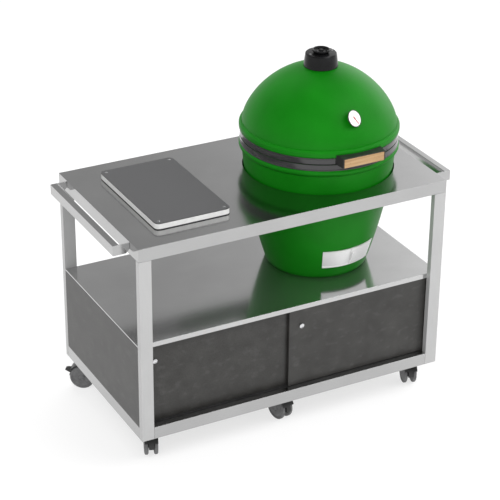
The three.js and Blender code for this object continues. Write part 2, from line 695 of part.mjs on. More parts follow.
function thermometerCase() {
  const probe = 3;
  const stem = 7;
  const stemFoot = 3.4;
  const rimTop = DIAL_FACE + 1.3;
  const rimInner = DIAL_RADIUS - 2;
  const body = turned([
    [0, -34], [probe, -32], [probe, stemFoot], [stem, stemFoot], [stem, DIAL_BACK],
    [DIAL_RADIUS - 2, DIAL_BACK], [DIAL_RADIUS, DIAL_BACK + 1], [DIAL_RADIUS, rimTop - 1],
    [DIAL_RADIUS - 1, rimTop], [rimInner, rimTop], [rimInner, DIAL_FACE], [0, DIAL_FACE],
  ], 32);
  return body.applyMatrix4(thermometerPose());
}

function thermometerNeedle() {
  const z0 = DIAL_FACE + GAP;
  const resting = THREE.MathUtils.degToRad(-159);
  const hub = rod(3, z0, z0 + 1.8, 12);
  const pointer = plate([[-2, -9], [2, -9], [1, 26], [-1, 26]], z0 + 0.3, z0 + 1.3);
  return unite(hub, pointer).rotateZ(resting).applyMatrix4(thermometerPose());
}

function kamadoLid() {
  const around = { x: KAMADO_X };
  add('lid_shell', 'green', lidShell(), { x: KAMADO_X, z: TOP_HEIGHT });
  add('chimney_cap', 'iron', chimneyCap(), around);
  add('vent_dial', 'iron', ventDial(), around);
  add('thermometer_case', 'white', thermometerCase(), around);
  add('thermometer_needle', 'red', thermometerNeedle(), around);
}

// ---- lid handle and hinge -----------------------------------------------------------------------

const GRIP_FRONT = 342;
const GRIP_DEEP = 18;
const GRIP_HALF = 86;
const GRIP_BASE = TOP_HEIGHT + 130;
const GRIP_HIGH = 34.6;
const ARM_REACH = 96;
const ARM_THICK = 4;
const COVER_THICK = 3;

function lidHandle() {
  const foot = -Math.sqrt(BAND_RADIUS ** 2 - ARM_REACH ** 2) + 5;
  const coverBase = GRIP_BASE + GRIP_HIGH + GAP;
  const top = coverBase + COVER_THICK;
  const edge = GRIP_HALF + GAP;
  const front = 1 - GRIP_FRONT;
  const arm = (s) => plate([
    [s * edge, front], [s * (edge + ARM_THICK), front], [s * (ARM_REACH + 1), foot],
    [s * (ARM_REACH - 5), foot], [s * edge, GRIP_DEEP - GRIP_FRONT],
  ], GRIP_BASE, top);
  const cover = box(-edge - BITE, edge + BITE, front, foot, coverBase, top);
  const band = rod(BAND_RADIUS + GAP, GRIP_BASE - BITE, top + BITE, RING_STEPS);
  const flange = rod(FLANGE_RADIUS + GAP, UPPER_BAND_Z + BAND_HIGH, top + BITE, RING_STEPS);
  const bracket = cut(unite(cover, arm(-1), arm(1)), band, flange);
  add('lid_handle_bracket', 'black', bracket, { x: KAMADO_X });

  const shape = new THREE.Shape();
  const [w, h, r] = [GRIP_HALF, GRIP_HIGH / 2, 3];
  shape.moveTo(-w + r, -h).lineTo(w - r, -h).quadraticCurveTo(w, -h, w, -h + r).lineTo(w, h - r);
  shape.quadraticCurveTo(w, h, w - r, h).lineTo(-w + r, h).quadraticCurveTo(-w, h, -w, h - r);
  shape.lineTo(-w, -h + r).quadraticCurveTo(-w, -h, -w + r, -h);
  const grip = new THREE.ExtrudeGeometry(shape, { depth: GRIP_DEEP, bevelEnabled: false, curveSegments: 3 });
  grip.rotateX(Math.PI / 2).translate(0, -GRIP_FRONT + GRIP_DEEP, GRIP_BASE + GRIP_HIGH / 2);
  add('lid_handle_grip', 'beech', toGeometry(toSolid(grip)), { x: KAMADO_X });
}

// Two plates on the bands, each with two ears round a common pin.
function hinge() {
  const axis = SPLIT_Z + SPLIT_HIGH / 2;
  const face = BAND_RADIUS + GAP;
  const plateHalf = 45;
  const plateThick = 4;
  const earHalf = 3;
  const eyeRadius = 10;
  const hole = rodX(HINGE_PIN + GAP, -plateHalf - BITE, plateHalf + BITE, HINGE_Y, axis);
  const ear = (x, reach) => {
    const [x0, x1] = [x - earHalf, x + earHalf];
    const [z0, z1] = [axis + Math.min(reach, 0), axis + Math.max(reach, 0)];
    return unite(rodX(eyeRadius, x0, x1, HINGE_Y, axis), box(x0, x1, face + BITE, HINGE_Y, z0, z1));
  };
  const backing = (z0, z1) => box(-plateHalf, plateHalf, face, face + plateThick, z0, z1);
  const half = (name, plateBody, at, reach) =>
    add(name, 'band', cut(unite(plateBody, ear(-at, reach), ear(at, reach)), hole), { x: KAMADO_X });
  half('hinge_lower', backing(LOWER_BAND_Z, SPLIT_Z - 2), 34, -BAND_HIGH);
  half('hinge_upper', backing(UPPER_BAND_Z + 2, UPPER_BAND_Z + BAND_HIGH), 26, BAND_HIGH);
  add('hinge_pin', 'polished', rodX(HINGE_PIN, -43, 43, HINGE_Y, axis), { x: KAMADO_X });
}

// ---- chopping board -----------------------------------------------------------------------------

function choppingBoard() {
  const [w, d, r] = [BOARD.wide / 2, BOARD.deep / 2, BOARD.corner];
  const shape = new THREE.Shape();
  shape.moveTo(-w + r, -d).lineTo(w - r, -d).absarc(w - r, -d + r, r, -Math.PI / 2, 0);
  shape.lineTo(w, d - r).absarc(w - r, d - r, r, 0, Math.PI / 2);
  shape.lineTo(-w + r, d).absarc(-w + r, d - r, r, Math.PI / 2, Math.PI);
  shape.lineTo(-w, -d + r).absarc(-w + r, -d + r, r, Math.PI, 1.5 * Math.PI);
  const slab = new THREE.ExtrudeGeometry(shape, { depth: BOARD.high, bevelEnabled: false, curveSegments: 6 });
  add('chopping_board', 'slate', toGeometry(toSolid(slab)), { x: BOARD.x, y: BOARD.y, z: TOP_HEIGHT + GAP });
}

// ---- assembly -----------------------------------------------------------------------------------

add('worktop', 'stainless', worktop());
legs();
bottomRails();
add('shelf', 'stainless', shelf());
cabinet();
doorTracks();
slidingDoors();
pushHandles();
casters();
kamadoBase();
kamadoLid();
lidHandle();
hinge();
choppingBoard();

export default kamadoGrill;
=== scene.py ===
"""Looks of the kamado grill in its rolling steel table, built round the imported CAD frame. Metres, +Z up."""
import json
import math

import bmesh
import bpy
from mathutils import Matrix, Vector


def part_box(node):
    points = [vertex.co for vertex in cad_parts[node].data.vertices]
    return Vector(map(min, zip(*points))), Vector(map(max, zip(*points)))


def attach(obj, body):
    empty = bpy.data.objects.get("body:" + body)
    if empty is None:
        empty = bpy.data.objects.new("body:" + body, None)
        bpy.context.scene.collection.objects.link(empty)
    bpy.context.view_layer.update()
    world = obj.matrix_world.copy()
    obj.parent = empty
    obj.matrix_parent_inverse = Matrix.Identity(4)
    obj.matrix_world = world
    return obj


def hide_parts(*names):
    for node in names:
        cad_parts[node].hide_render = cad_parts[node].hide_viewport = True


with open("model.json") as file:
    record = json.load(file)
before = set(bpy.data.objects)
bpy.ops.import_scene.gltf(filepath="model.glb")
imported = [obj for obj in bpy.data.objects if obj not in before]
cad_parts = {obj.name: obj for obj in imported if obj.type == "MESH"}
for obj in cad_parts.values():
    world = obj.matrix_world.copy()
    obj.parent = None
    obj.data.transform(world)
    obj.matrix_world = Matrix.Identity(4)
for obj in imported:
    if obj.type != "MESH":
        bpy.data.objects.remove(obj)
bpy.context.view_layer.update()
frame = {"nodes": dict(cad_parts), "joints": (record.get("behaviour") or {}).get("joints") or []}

# ---- places taken from the frame ----------------------------------------------------------------


def middle(node):
    low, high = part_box(node)
    return (low + high) / 2


AXIS = Vector((middle("base_band").x, middle("base_band").y, 0))
TOP_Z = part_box("worktop")[1].z
FOOT_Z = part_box("base_shell")[0].z
LOWER_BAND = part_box("base_band")
UPPER_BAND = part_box("lid_band")
HOODS = [node for node in frame["nodes"] if node.startswith("caster_") and node.endswith("_hood")]
CASTERS = [node.removeprefix("caster_").removesuffix("_hood") for node in HOODS]
JOINTS = {joint["name"]: joint for joint in frame["joints"]}

# ---- gaps and finish ----------------------------------------------------------------------------

GAP = 0.0003  # keeps neighbouring pieces apart
LINING = 0.0012  # thickness of the bare clay inside the glazed shells
LINING_GAP = 0.0001
FACETS = 128
ROD_FACETS = 12
POINT_RADIUS = 1e-6  # a smaller ring of a turned shape is one point
EDGE_SHARE = 0.49  # the most of an edge that a corner's arc may take
SHARP_DEGREES = 32
BEVEL_DEGREES = 35
FLAT_DEGREES = 1
WELD_DISTANCE = 1e-5

# ---- shapes shared with the CAD model -----------------------------------------------------------

LEG_WALL = 0.0023
PLUG_HEIGHTS = (0.0012, 0.012)
PULL_STEM = 0.004
PULL_SUNK = 0.006

WHEEL_RADIUS = 0.05
WHEEL_HALF = 0.026
WHEEL_THICK = 0.015
AXLE_RADIUS = 0.006
MOUNT_RADIUS = 0.03
MOUNT_HOLE = 0.0095
MOUNT_CIRCLE = 0.022
MOUNT_THICK = 0.0026

# heights from here on are above the kamado's foot
BOWL_FOOT = 0.2
BOWL_RADIUS = 0.299
BOWL_HEIGHT = 0.484
BOWL_BULGE = 0.62
FOOT_RADIUS = 0.196
FLANGE_RADIUS = 0.311
SEAT_RADIUS = 0.3038
SHELL = 0.024
BASE_FLOOR = 0.03
BASE_SEAT = LOWER_BAND[0].z - FOOT_Z - GAP
BASE_RIM = LOWER_BAND[1].z - FOOT_Z - GAP
LINING_FOOT = 0.3
LINER_GAP = 0.006
LINER_FACE = -SHELL - LINER_GAP  # the liners' outside, measured from the bowl's outside
LINER = 0.018
LINER_SPLIT = 0.32
LINER_TOP = 0.47
FIRE_HOLE = 0.042
FIRE_FOOT = 0.031
FIRE_FLOOR = 0.049
FIRE_WELL_RADIUS = 0.15
FIRE_WELL_TOP = 0.1
INLET_DEGREES = (7, 30)
INLET_INSET = 0.012
BAND_RADIUS = 0.3084
BAND_HEM = 0.0016  # how far the rolled edge stands out
BAND_LIP = 0.004  # height of the rolled edge
GASKET_WIDTH = 0.02

# heights from here on are above the worktop
LID_RIM = UPPER_BAND[0].z - TOP_Z
LID_SEAT = UPPER_BAND[1].z - TOP_Z + GAP
DOME_RADIUS = 0.3
DOME_BASE = 0.184
DOME_HIGH = 0.228
DOME_FLAT = 1.5
DOME_FULL = 1.95
DOME_INSIDE_DROP = 0.024
DOME_INSIDE_RISE = 0.004
CHIMNEY_RADIUS = 0.045
CAP_RADIUS = 0.06
CAP_WALL = 0.0055
CAP_TOP = 0.005  # thickness of the cap's top
CAP_RIBS = 9
CAP_RIB_PITCH = 0.0045
CAP_SCREW_X = 0.046
SMOKE_CIRCLE = 0.02
SMOKE_HOLE = 0.004

DIAL_RADIUS = 0.0329
DIAL_BACK = -0.0044
STEM_RADIUS = 0.003
STEM_END = -0.0477
NECK_RADIUS = 0.007
NECK_END = -0.0103
DIAL_MARKS = 21
DIAL_SWEEP_DEGREES = 300
MARK_CIRCLE = 0.0282
GRIP_DOWEL_INSET = 0.024
HINGE_FACE = BAND_RADIUS + 0.0043
HINGE_SCREW_X = 0.012
HINGE_SCREW_Z = 0.009
GRID_BAR = 0.0029
GRID_BARS = 13
GRID_PITCH = 0.039
BOARD_CORNER = 0.024
BOARD_SKIN = 0.0032
BOARD_SCREW_INSET = 0.02

# ---- camera, floor and lights -------------------------------------------------------------------

CAMERA_PLACE = Vector((-2.9972, -5.5908, 3.8860))
CAMERA_AZIMUTH = math.radians(-28.137)
CAMERA_ELEVATION = math.radians(27.25)
CAMERA_ROLL = math.radians(0.562)
FOCAL_LENGTH = 131.08
SENSOR = 36.0
FLOOR_HALF = 14
FLOOR_THICK = 0.02
LIGHT_SIZE = 3.5
LIGHTS = {  # name: (place, target, watts)
    "key": ((-3.2, -3.4, 4.6), (0, 0, 0.3), 200),
    "fill": ((4.4, -2.6, 3.6), (0.3, 0, 0.3), 165),
    "back": ((0.4, 3.6, 4.4), (0.2, 0, 0.3), 150),
}
SKY_HEIGHTS = [(0.0, 1.0), (0.08, 0.95), (0.17, 0.75), (0.42, 0.42), (0.6, 0.34), (1.0, 0.3)]
SKY_PATCHES = (  # direction of the middle, then (cosine of the angle from it, added brightness)
    ((0.86, 0.42, 0.3), [(0.79, 0.0), (0.84, 0.16), (0.875, 0.55), (0.93, 1.1), (1.0, 1.5)]),
    ((0.42, -0.46, 0.78), [(0.95, 0.0), (0.985, 3.0)]),
)

# ---- mesh helpers -------------------------------------------------------------------------------


def on_axis(height):
    """A placement on the kamado's upright axis."""
    return Matrix.Translation((AXIS.x, AXIS.y, height))


def facing(point, normal):
    """A placement at a point whose own +Z looks along the normal."""
    turn = Vector(normal).to_track_quat("Z", "Y").to_matrix().to_4x4()
    return Matrix.Translation(point) @ turn


def rounded(corners, steps=5):
    """Corners (x, y, radius) as points, each corner that has a radius turned into an arc."""
    points = []
    count = len(corners)
    for i, (x, y, radius) in enumerate(corners):
        here = Vector((x, y))
        if radius == 0:
            points.append(here)
            continue
        before = Vector(corners[i - 1][:2]) - here
        after = Vector(corners[(i + 1) % count][:2]) - here
        reach = radius / math.tan(before.angle(after) / 2)
        reach = min(reach, before.length * EDGE_SHARE, after.length * EDGE_SHARE)
        start = here + before.normalized() * reach
        end = here + after.normalized() * reach
        for k in range(steps + 1):
            t = k / steps
            points.append((1 - t) ** 2 * start + 2 * t * (1 - t) * here + t * t * end)
    return points


def turned(profile, facets=FACETS, closed=True, place=None):
    """A bmesh of the profile of (radius, height) points turned about Z."""
    bm = bmesh.new()
    rows = []
    for radius, height in profile:
        if radius < POINT_RADIUS:
            rows.append([bm.verts.new((0, 0, height))])
            continue
        angles = [2 * math.pi * k / facets for k in range(facets)]
        rows.append([bm.verts.new((radius * math.cos(a), radius * math.sin(a), height)) for a in angles])
    pairs = list(zip(rows, rows[1:]))
    if closed:
        pairs.append((rows[-1], rows[0]))
    for low, high in pairs:
        if len(low) == 1 and len(high) == 1:
            continue
        for k in range(facets):
            n = (k + 1) % facets
            ring = [low[k % len(low)], low[n % len(low)], high[n % len(high)], high[k % len(high)]]
            bm.faces.new(list(dict.fromkeys(ring)))
    bmesh.ops.recalc_face_normals(bm, faces=bm.faces)
    if place is not None:
        bm.transform(place)
    return bm


def extruded(outline, low, high, place=None):
    """A bmesh of a flat outline of (x, y) points standing between two heights."""
    bm = bmesh.new()
    floor = [bm.verts.new((x, y, low)) for x, y in outline]
    roof = [bm.verts.new((x, y, high)) for x, y in outline]
    count = len(outline)
    bm.faces.new(list(reversed(floor)))
    bm.faces.new(roof)
    for k in range(count):
        n = (k + 1) % count
        bm.faces.new([floor[k], floor[n], roof[n], roof[k]])
    bmesh.ops.recalc_face_normals(bm, faces=bm.faces)
    if place is not None:
        bm.transform(place)
    return bm


def rounded_block(size, radius):
    """Outline of a rectangle of that size round the origin, with rounded corners."""
    w, d = size[0] / 2, size[1] / 2
    return rounded([(-w, -d, radius), (w, -d, radius), (w, d, radius), (-w, d, radius)])


def rod(start, end, radius):
    """A bmesh of a round rod between two points, with closed ends."""
    turn = (end - start).to_track_quat("Z", "Y").to_matrix()
    angles = [2 * math.pi * k / ROD_FACETS for k in range(ROD_FACETS)]
    ring = [turn @ Vector((radius * math.cos(a), radius * math.sin(a), 0)) for a in angles]
    bm = bmesh.new()
    low = [bm.verts.new(start + spoke) for spoke in ring]
    high = [bm.verts.new(end + spoke) for spoke in ring]
    for k in range(ROD_FACETS):
        n = (k + 1) % ROD_FACETS
        bm.faces.new([low[k], low[n], high[n], high[k]])
    bm.faces.new(low[::-1])
    bm.faces.new(high)
    bmesh.ops.recalc_face_normals(bm, faces=bm.faces)
    return bm


def mesh_from(name, bm):
    """A mesh made from a bmesh, which is freed."""
    mesh = bpy.data.meshes.new(name)
    bm.to_mesh(mesh)
    bm.free()
    return mesh


def joined(*parts):
    """One bmesh holding all the parts; each part is freed."""
    whole = bmesh.new()
    for part in parts:
        mesh = mesh_from("part", part)
        whole.from_mesh(mesh)
        bpy.data.meshes.remove(mesh)
    return whole


def add_object(name, data):
    """A new object in the scene, made of a mesh, a light or a camera."""
    obj = bpy.data.objects.new(name, data)
    bpy.context.scene.collection.objects.link(obj)
    return obj


def finish_mesh(mesh):
    mesh.shade_smooth()
    mesh.set_sharp_from_angle(angle=math.radians(SHARP_DEGREES))


def piece(name, bm, body, material, stands_for=(), bevel=0):
    """A new object from a bmesh, riding on a CAD body."""
    obj = add_object(name, mesh_from(name, bm))
    finish_mesh(obj.data)
    obj.data.materials.append(material)
    if bevel:
        soften(obj, bevel)
    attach(obj, body)
    if stands_for:
        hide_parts(*stands_for)
    return obj


def soften(obj, width, segments=3):
    edge = obj.modifiers.new("soft_edges", "BEVEL")
    edge.width = width
    edge.segments = segments
    edge.limit_method = "ANGLE"
    edge.angle_limit = math.radians(BEVEL_DEGREES)
    edge.harden_normals = True


def carve(obj, cutters):
    """Cuts the cutters' shapes out of a piece for good."""
    for bm in cutters:
        tool = add_object("cutter", mesh_from("cutter", bm))
        cut = obj.modifiers.new("cut", "BOOLEAN")
        cut.operation = "DIFFERENCE"
        cut.solver = "EXACT"
        cut.object = tool
        bpy.context.view_layer.update()
        graph = bpy.context.evaluated_depsgraph_get()
        carved = bpy.data.meshes.new_from_object(obj.evaluated_get(graph))
        obj.modifiers.remove(cut)
        obj.data = carved
        bpy.data.objects.remove(tool)
    finish_mesh(obj.data)


def refine(node, material, bevel, segments=2):
    """Keeps a CAD node, with softened edges and a material of its own."""
    obj = frame["nodes"][node]
    mesh = obj.data
    if "custom_normal" in mesh.attributes:
        mesh.attributes.remove(mesh.attributes["custom_normal"])
    mesh.shade_smooth()
    weld = obj.modifiers.new("weld", "WELD")
    weld.merge_threshold = WELD_DISTANCE
    flat = obj.modifiers.new("flat", "DECIMATE")
    flat.decimate_type = "DISSOLVE"
    flat.angle_limit = math.radians(FLAT_DEGREES)
    soften(obj, bevel, segments)
    mesh.materials.clear()
    mesh.materials.append(material)


# ---- materials ----------------------------------------------------------------------------------

MIX_AMOUNT, MIX_FIRST, MIX_SECOND, MIX_RESULT = 0, 6, 7, 2  # the colour sockets of a Mix node
ALONG_X, ALONG_Y, ALONG_Z = range(3)


def ramp_node(tree, value, stops):
    """Colours or greys along a value: stops are (position, grey or colour)."""
    ramp = tree.nodes.new("ShaderNodeValToRGB")
    elements = ramp.color_ramp.elements
    while len(elements) < len(stops):
        elements.new(0.5)
    for element, (position, tone) in zip(elements, stops):
        element.position = position
        color = (tone,) * 3 if isinstance(tone, (int, float)) else tone
        element.color = (*color, 1)
    tree.links.new(value, ramp.inputs["Fac"])
    return ramp.outputs["Color"]


def mix_node(tree, first, second, amount, blend):
    """One colour laid over another by an amount, with a blend mode."""
    mixer = tree.nodes.new("ShaderNodeMix")
    mixer.data_type = "RGBA"
    mixer.blend_type = blend
    mixer.inputs[MIX_AMOUNT].default_value = amount
    tree.links.new(first, mixer.inputs[MIX_FIRST])
    tree.links.new(second, mixer.inputs[MIX_SECOND])
    return mixer.outputs[MIX_RESULT]


class Surface:
    """A material with one Principled shader, and short calls for what feeds it."""

    def __init__(self, name, color, roughness, metallic=0.0, specular=0.5):
        self.material = bpy.data.materials.new(name)
        self.material.use_nodes = True
        self.tree = self.material.node_tree
        self.shader = self.tree.nodes["Principled BSDF"]
        self.set("Base Color", (*color, 1))
        self.set("Roughness", roughness)
        self.set("Metallic", metallic)
        self.set("Specular IOR Level", specular)

    def set(self, socket, value):
        self.shader.inputs[socket].default_value = value

    def node(self, kind, **inputs):
        made = self.tree.nodes.new(kind)
        for key, value in inputs.items():
            made.inputs[key.replace("_", " ")].default_value = value
        return made

    def link(self, source, target):
        self.tree.links.new(source, target)

    def coordinates(self, scale=(1, 1, 1)):
        source = self.tree.nodes.new("ShaderNodeTexCoord")
        mapping = self.node("ShaderNodeMapping", Scale=scale)
        self.link(source.outputs["Object"], mapping.inputs["Vector"])
        return mapping.outputs["Vector"]

    def noise(self, scale, detail=2.0, stretch=(1, 1, 1)):
        texture = self.node("ShaderNodeTexNoise", Scale=scale, Detail=detail)
        self.link(self.coordinates(stretch), texture.inputs["Vector"])
        return texture.outputs["Fac"]

    def cells(self, scale):
        texture = self.node("ShaderNodeTexVoronoi", Scale=scale)
        self.link(self.coordinates(), texture.inputs["Vector"])
        return texture.outputs["Distance"]

    def ramp(self, value, stops):
        return ramp_node(self.tree, value, stops)

    def mix(self, first, second, amount, blend="MIX"):
        return mix_node(self.tree, first, second, amount, blend)

    def color(self, source):
        self.link(source, self.shader.inputs["Base Color"])

    def roughness(self, value, low, high):
        spread = self.node("ShaderNodeMapRange", To_Min=low, To_Max=high)
        self.link(value, spread.inputs["Value"])
        self.link(spread.outputs["Result"], self.shader.inputs["Roughness"])

    def bump(self, *layers):
        """Layers of (height value, strength, depth in metres), one on the other."""
        normal = None
        for value, strength, depth in layers:
            bump = self.node("ShaderNodeBump", Strength=strength, Distance=depth)
            self.link(value, bump.inputs["Height"])
            if normal is not None:
                self.link(normal, bump.inputs["Normal"])
            normal = bump.outputs["Normal"]
        self.link(normal, self.shader.inputs["Normal"])


def brushed_steel(name, along, tone=0.48, low=0.12, high=0.2, metallic=1.0):
    """Satin stainless with its brushing along one axis."""
    steel = Surface(name, (tone, tone, tone * 1.01), low, metallic=metallic)
    stretch = [1400.0, 1400.0, 1400.0]
    stretch[along] = 14.0
    grain = steel.noise(1.0, 3.0, stretch)
    clouds = steel.noise(5.0, 4.0)
    tint = steel.ramp(clouds, [(0.3, (tone * 0.96,) * 3), (0.7, (tone * 1.03,) * 3)])
    streaks = steel.ramp(grain, [(0.3, 0.93), (0.7, 1.0)])
    steel.color(steel.mix(tint, streaks, 1.0, "MULTIPLY"))
    steel.roughness(steel.mix(grain, clouds, 0.5), low, high)
    steel.bump((grain, 0.06, 0.0002))
    return steel.material


def plain_metal(name, color, roughness):
    metal = Surface(name, color, roughness, metallic=1.0)
    fine = metal.noise(600.0, 3.0)
    metal.roughness(fine, roughness * 0.8, roughness * 1.3)
    metal.bump((fine, 0.05, 0.0001))
    return metal.material


def band_steel():
    """Dark satin strap, almost black face on, bright at a glancing angle."""
    band = Surface("band_steel", (0.026, 0.026, 0.027), 0.14, specular=0.7)
    grain = band.noise(1.0, 3.0, (60.0, 60.0, 2600.0))
    band.color(band.ramp(grain, [(0.25, (0.018, 0.018, 0.019)), (0.75, (0.034, 0.033, 0.035))]))
    band.roughness(grain, 0.1, 0.2)
    band.bump((grain, 0.06, 0.0001))
    return band.material


def green_glaze():
    """Deep green glaze over a finely dimpled ceramic."""
    glaze = Surface("green_glaze", (0.003, 0.16, 0.003), 0.46, specular=0.15)
    clouds = glaze.noise(6.0, 3.0)
    glaze.color(glaze.ramp(clouds, [(0.3, (0.0022, 0.145, 0.0022)), (0.7, (0.0042, 0.178, 0.0042))]))
    dimples = glaze.cells(230.0)
    glaze.roughness(clouds, 0.4, 0.5)
    glaze.bump((dimples, 0.26, 0.0012), (glaze.noise(38.0, 2.0), 0.12, 0.002))
    return glaze.material


def fire_clay():
    clay = Surface("fire_clay", (0.48, 0.36, 0.26), 0.92, specular=0.2)
    blotches = clay.noise(14.0, 6.0)
    clay.color(clay.ramp(blotches, [(0.3, (0.36, 0.26, 0.18)), (0.7, (0.56, 0.44, 0.33))]))
    clay.bump((clay.noise(260.0, 5.0), 0.35, 0.0008), (clay.cells(90.0), 0.1, 0.0008))
    return clay.material


def cast_iron():
    iron = Surface("cast_iron", (0.006, 0.006, 0.007), 0.22, specular=0.2)
    sand = iron.noise(700.0, 4.0)
    iron.color(iron.ramp(iron.noise(30.0, 4.0), [(0.3, 0.004), (0.7, (0.009, 0.009, 0.01))]))
    iron.roughness(sand, 0.16, 0.28)
    iron.bump((sand, 0.12, 0.0003))
    return iron.material


def felt():
    cloth = Surface("felt", (0.02, 0.02, 0.02), 0.95, specular=0.15)
    hairs = cloth.noise(900.0, 5.0)
    cloth.color(cloth.ramp(hairs, [(0.3, 0.01), (0.7, 0.045)]))
    cloth.bump((hairs, 0.6, 0.0006))
    return cloth.material


def beech():
    """Oiled beech with its grain along X: bands, fine fibres and short dark flecks."""
    wood = Surface("beech", (0.45, 0.28, 0.135), 0.48, specular=0.4)
    bands = wood.ramp(wood.noise(1.0, 4.0, (5.0, 70.0, 90.0)), [
        (0.25, (0.33, 0.19, 0.085)), (0.5, (0.45, 0.28, 0.135)), (0.75, (0.54, 0.37, 0.2)),
    ])
    fibres = wood.noise(1.0, 5.0, (30.0, 1300.0, 1300.0))
    flecks = wood.noise(1.0, 2.0, (130.0, 1500.0, 1500.0))
    body = wood.mix(bands, wood.ramp(fibres, [(0.3, 0.82), (0.7, 1.0)]), 1.0, "MULTIPLY")
    wood.color(wood.mix(body, wood.ramp(flecks, [(0.62, 1.0), (0.72, (0.55, 0.4, 0.3))]), 1.0, "MULTIPLY"))
    wood.roughness(fibres, 0.4, 0.58)
    wood.bump((fibres, 0.2, 0.0003), (flecks, 0.15, 0.0003))
    return wood.material


def black_coat(name, tone):
    coat = Surface(name, (tone, tone, tone * 1.05), 0.38, specular=0.5)
    grain = coat.noise(1100.0, 3.0)
    coat.color(coat.ramp(coat.noise(40.0, 3.0), [(0.3, tone * 0.8), (0.7, tone * 1.3)]))
    coat.roughness(grain, 0.3, 0.48)
    coat.bump((grain, 0.15, 0.0002))
    return coat.material


def slate_laminate():
    """Matt laminate printed as dark stone: soft clouds, fine speckle and faint pale scuffs."""
    slate = Surface("slate_laminate", (0.036, 0.035, 0.033), 0.34, specular=0.45)
    clouds = slate.ramp(slate.noise(16.0, 9.0), [
        (0.32, (0.025, 0.024, 0.022)), (0.52, (0.031, 0.03, 0.028)), (0.74, (0.04, 0.039, 0.036)),
    ])
    speckle = slate.ramp(slate.noise(420.0, 3.0), [(0.35, 0.7), (0.65, 1.2)])
    scuffs = slate.ramp(slate.noise(24.0, 14.0, (1.0, 1.0, 1.6)), [(0.56, 0.0), (0.72, 0.016)])
    body = slate.mix(clouds, speckle, 1.0, "MULTIPLY")
    slate.color(slate.mix(body, scuffs, 1.0, "ADD"))
    grain = slate.noise(240.0, 6.0)
    slate.roughness(grain, 0.28, 0.42)
    slate.bump((grain, 0.12, 0.0003))
    return slate.material


def board_skin():
    skin = Surface("board_skin", (0.065, 0.065, 0.067), 0.5, specular=0.5)
    speckle = skin.noise(520.0, 3.0)
    skin.color(skin.ramp(speckle, [(0.3, (0.042, 0.042, 0.044)), (0.7, (0.088, 0.088, 0.09))]))
    skin.roughness(speckle, 0.42, 0.56)
    skin.bump((speckle, 0.15, 0.0003))
    return skin.material


def board_core():
    core = Surface("board_core", (0.78, 0.78, 0.77), 0.45, specular=0.4)
    core.color(core.ramp(core.noise(60.0, 3.0), [(0.3, (0.74, 0.74, 0.73)), (0.7, (0.82, 0.82, 0.81))]))
    core.bump((core.noise(1.0, 3.0, (900.0, 900.0, 60.0)), 0.08, 0.0002))
    return core.material


def wheel_rubber():
    rubber = Surface("wheel_rubber", (0.11, 0.11, 0.112), 0.55, specular=0.4)
    dust = rubber.noise(55.0, 5.0)
    rubber.color(rubber.ramp(dust, [(0.3, (0.085, 0.085, 0.087)), (0.7, (0.15, 0.15, 0.152))]))
    rubber.roughness(dust, 0.48, 0.68)
    rubber.bump((rubber.noise(700.0, 3.0), 0.15, 0.0003))
    return rubber.material


def enamel(name, color, roughness):
    paint = Surface(name, color, roughness, specular=0.5)
    fine = paint.noise(500.0, 2.0)
    paint.roughness(fine, roughness * 0.85, roughness * 1.2)
    paint.bump((fine, 0.04, 0.0001))
    return paint.material


STEEL_X = brushed_steel("stainless_x", ALONG_X)
STEEL_Y = brushed_steel("stainless_y", ALONG_Y)
LEG_STEEL = brushed_steel("leg_steel", ALONG_Z, 0.47, 0.28, 0.4, metallic=0.3)
SHELF_STEEL = brushed_steel("shelf_steel", ALONG_X, 0.58, 0.1, 0.17, metallic=0.96)
# a pale, mostly matt copy of the stainless: painted sheen standing in for the draft plate's bright reflection
PAINTED_SHEEN_STEEL = brushed_steel("draft_steel_painted_sheen", ALONG_X, 0.82, 0.36, 0.48, metallic=0.3)
POLISHED = plain_metal("polished_steel", (0.72, 0.72, 0.73), 0.14)
# polished steel darkened as painted shade, for the thermometer case's rim and side
PAINTED_SHADE_CASE = plain_metal("painted_shade_case_steel", (0.2, 0.2, 0.2), 0.2)
GRID_STEEL = plain_metal("grid_steel", (0.55, 0.55, 0.55), 0.24)
BAND = band_steel()
GREEN = green_glaze()
CLAY = fire_clay()
IRON = cast_iron()
FELT = felt()
BEECH = beech()
DOWEL = enamel("dowel_end", (0.2, 0.11, 0.045), 0.6)
# black coat of the lid handle's bracket; on the stainless door tracks the same black is painted shade
BLACK_COAT_AND_TRACK_SHADE = black_coat("black_steel", 0.018)
NYLON = black_coat("caster_plastic", 0.014)
SLATE = slate_laminate()
SKIN = board_skin()
CORE = board_core()
RUBBER = wheel_rubber()
WHITE = enamel("dial_white", (0.86, 0.86, 0.85), 0.28)
DIAL_MARK = enamel("dial_mark", (0.45, 0.16, 0.18), 0.45)
NEEDLE_RED = enamel("needle_red", (0.42, 0.008, 0.02), 0.3)


# ---- table --------------------------------------------------------------------------------------


def table():
    refine("worktop", STEEL_X, 0.0016, 3)
    refine("shelf", SHELF_STEEL, 0.0009)
    for leg in [node for node in frame["nodes"] if node.startswith("leg_")]:
        refine(leg, LEG_STEEL, 0.0011, 3)
        leg_plug(leg)
    for side in ("front", "back"):
        refine(f"rail_{side}", STEEL_X, 0.0011, 3)
    for side in ("left", "right"):
        refine(f"rail_{side}", STEEL_Y, 0.0013, 3)
        refine(f"push_handle_{side}", STEEL_Y, 0.0013, 3)
        refine(f"side_panel_{side}", SLATE, 0.0008)
        refine(f"door_{side}", SLATE, 0.0008)
    for node in ("cabinet_floor", "cabinet_back_panel"):
        refine(node, SLATE, 0.0008)
    # The door tracks are stainless: their black is painted shade for the dark gaps at the doors' bottom and
    # top edges.
    for node in ("door_track_bottom", "door_track_top"):
        refine(node, BLACK_COAT_AND_TRACK_SHADE, 0.0004, 3)


